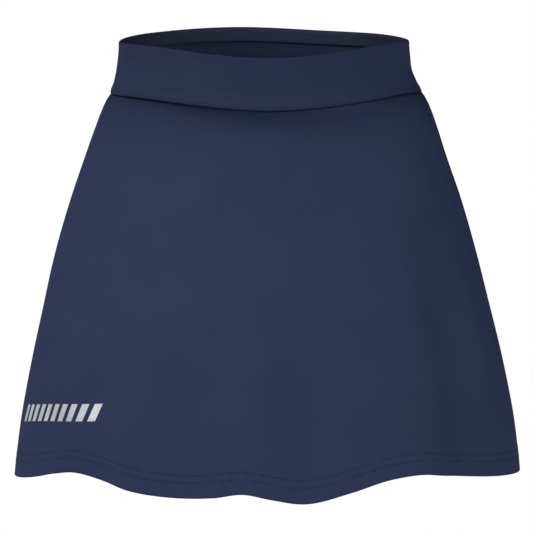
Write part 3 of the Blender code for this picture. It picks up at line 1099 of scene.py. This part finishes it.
def side_allowance(name, seam, to_back):
    """A strip from the seam towards the back, to_back is 1 or -1, with its free edge rounded over."""
    down = np.linspace(8.0, 312.0, 120)
    share = down / SIDE_DROP
    degree = per_degree(skirt_point, seam, share)
    across = np.array([-0.6, 0.0, 0.6, 2.0, 3.5, 5.0, 6.2, 6.8, SEAM_ALLOWANCE])
    turn = seam + to_back * across[None, :] / degree[:, None]
    rows = np.broadcast_to(share[:, None], turn.shape)
    lift = 0.15 + 0.25 * ease(across / SEAM_ALLOWANCE)[None, :] + 0.12 * np.sin(down / WAVE)[:, None]
    lift = np.maximum(lift, 0.1)
    edge = np.array([0.35, 0.1, 0.0, 0.0, 0.0, 0.0, 0.1, 0.35, 0.6])[None, :]
    outer, _ = inside(turn, rows, lift + edge)
    inner, _ = inside(turn, rows, lift + ALLOWANCE_THICK - edge)
    if to_back < 0:
        outer, inner, turn = outer[:, ::-1], inner[:, ::-1], turn[:, ::-1]
    flat = points_of(across[None, :], -down[:, None]).reshape(-1, 2)
    make_piece(name, *closed_wall(outer, inner), seam_jersey, both_faces(flat))

    # The overlock thread runs to and fro across the free edge.
    bend = np.tile([0.0, 1.0], 130)
    run = np.linspace(9.0, 311.0, 260)
    path_share = run / SIDE_DROP
    path_turn = seam + to_back * (3.6 + 3.2 * bend) / np.interp(path_share, share, degree)
    path, up = inside(path_turn, path_share, 2.15 + 0.12 * np.sin(run / WAVE) + 0.05 * bend)
    make_piece(name + "_thread", *tube(path, WRAP_RADIUS, up, closed=False), navy_thread)


side_allowance("left_seam_allowance", -90.0, -1.0)
side_allowance("right_seam_allowance", 90.0, 1.0)

# %% The waist seam allowance
ring_turn = np.linspace(-90.0, 270.0, 720, endpoint=False)[None, :]
ring_down = np.array([-1.6, -1.0, 0.6, 2.5, 4.5, 6.2, 7.0])[:, None]
pinch = np.array([0.5, 0.1, 0.0, 0.0, 0.0, 0.1, 0.5])[:, None]
flare = 0.15 + 0.05 * ring_down + 0.15 * np.sin(np.radians(ring_turn * 9.0))
flare = flare + 0.7 * np.sin(np.radians(ring_turn)) ** 8


def ring_face(deeper):
    """A face of the ring: rows above the gap of the seam are the panel's top edge, raised."""
    point, _ = inside(ring_turn, np.maximum(ring_down, 0.0) / SIDE_DROP, flare + deeper)
    point[..., 2] += np.maximum(-ring_down, 0.0)
    return point


def inside_band(deeper, above):
    """A row just inside the band's lower edge, above the panel's top edge by so much."""
    lowest = np.array([[1.0]])
    normal = outward(band_point, ring_turn, lowest, 0.0)
    row = band_point(ring_turn, lowest) - normal * (DOUBLED + deeper)
    row[..., 2] += above - GAP
    return row


cover = np.concatenate([inside_band(0.5, 1.7), inside_band(0.1, 1.1), inside_band(0.1, 0.2)])
panel_edge, _ = inside(ring_turn, np.array([[0.0]]), 0.1)
panel_edge[..., 2] += 0.2
within = np.hypot(panel_edge[..., 0], panel_edge[..., 1]) < np.hypot(cover[2:, :, 0], cover[2:, :, 1])
turn_in = np.where(within[..., None], panel_edge, cover[2:])
ring = np.concatenate([cover, turn_in, ring_face(0.2 + pinch)[2:], ring_face(2.0 - pinch)[::-1]])
cover_down = np.array([-1.7, -1.1, -0.3, -0.2])[:, None]
round_down = np.concatenate([cover_down, ring_down[2:], ring_down[::-1]])
waist_flat = points_of(ring_turn * BAND_MM_PER_DEGREE, round_down).reshape(-1, 2)
make_piece("waist_seam_allowance", *loop_wall(ring), seam_jersey, waist_flat)

# %% The edges that meet in each side seam
def seam_core(point_at, height, seam):
    """A strip in the middle of the wall that bridges the gap of a side seam from top to bottom."""
    share = np.linspace(1.0, height - 1.0, 90)[:, None] / height
    across = np.array([-0.7, -0.5, 0.5, 0.7])[None, :]
    turn = seam + across / per_degree(point_at, seam, share)
    rows = np.broadcast_to(share, turn.shape)
    normal = outward(point_at, turn, rows)
    edge = np.array([0.15, 0.0, 0.0, 0.15])[None, :]
    outer = point_at(turn, rows) - normal * (0.75 + edge)[..., None]
    inner = point_at(turn, rows) - normal * (1.25 - edge)[..., None]
    return closed_wall(outer, inner)


walls = ((band_point, BAND_HEIGHT), (skirt_point, SIDE_DROP))
core_points, core_quads = joined([seam_core(*wall, seam) for seam in (-90.0, 90.0) for wall in walls])
make_piece("side_seam_edges", core_points, core_quads, seam_jersey, core_points[:, 1:])

# %% [markdown]
# ## The trim
#
# Near the hem on one side is a small silver transfer. Such trim is a film that is pressed onto
# the cloth by heat. This one is a plain row of slanting bars, as on reflective tape. Each bar is
# made from the front panel's own points, moved out by a sixth of a millimetre, so it follows
# every fold.

# %% Reflective bars
def silver_film(name):
    """Brushed silver film over cloth: fine glass beads as noise in the roughness and the bump."""
    made, tree, shader = start_material(name, Metallic=0.35, Specular_IOR_Level=0.5)
    place = add(tree, "TexCoord").outputs["Object"]
    beads = noise(tree, place, 3000.0, 2.0)
    cloud = noise(tree, place, 90.0, 2.0)
    dark, pale = (0.46, 0.49, 0.50, 1.0), (0.80, 0.83, 0.83, 1.0)
    mixed = blend(tree, cloud, dark, pale)
    rough = add(tree, "MapRange", Value=beads, To_Min=0.38, To_Max=0.55).outputs[0]
    grain = add(tree, "Bump", Strength=0.3, Distance=0.00005, Height=beads).outputs[0]
    drive(shader, Base_Color=mixed, Roughness=rough, Normal=grain)
    return made


BARS = 10
BAR_WIDTH, BAR_HEIGHT, BAR_PITCH, BAR_SLANT = 7.0, 14.5, 11.9, 5.0
TRIM_TURN, TRIM_LEVEL, TRIM_CLIMB = -78.0, -302.7, 19.6
MM_PER_DEGREE = 3.14  # round the body at the trim, on the flat cut
FILM_TOP, FILM_BOTTOM = 0.16, 0.02  # above the cloth


def trim_bar(place_in_row):
    """One bar: p runs across it and q up it, and q adds the slant. The row climbs to the front."""
    p, q = np.meshgrid(np.linspace(0.0, 1.0, 9), np.linspace(1.0, 0.0, 15))
    turn = TRIM_TURN + (place_in_row * BAR_PITCH + p * BAR_WIDTH + q * BAR_SLANT) / MM_PER_DEGREE
    top, hem = (skirt_point(turn, np.full(turn.shape, end))[..., 2] for end in (0.0, 1.0))
    level = TRIM_LEVEL + TRIM_CLIMB * np.cos(np.radians(turn)) + (q - 0.5) * BAR_HEIGHT
    share = (top - level) / (top - hem)
    point, normal = on_panel(turn, share)
    return closed_wall(point + normal * FILM_TOP, point + normal * FILM_BOTTOM)


bar_points, bar_quads = joined([trim_bar(place_in_row) for place_in_row in range(BARS)])
make_piece("reflective_bars", bar_points, bar_quads, silver_film("silver_film"), slot=None)
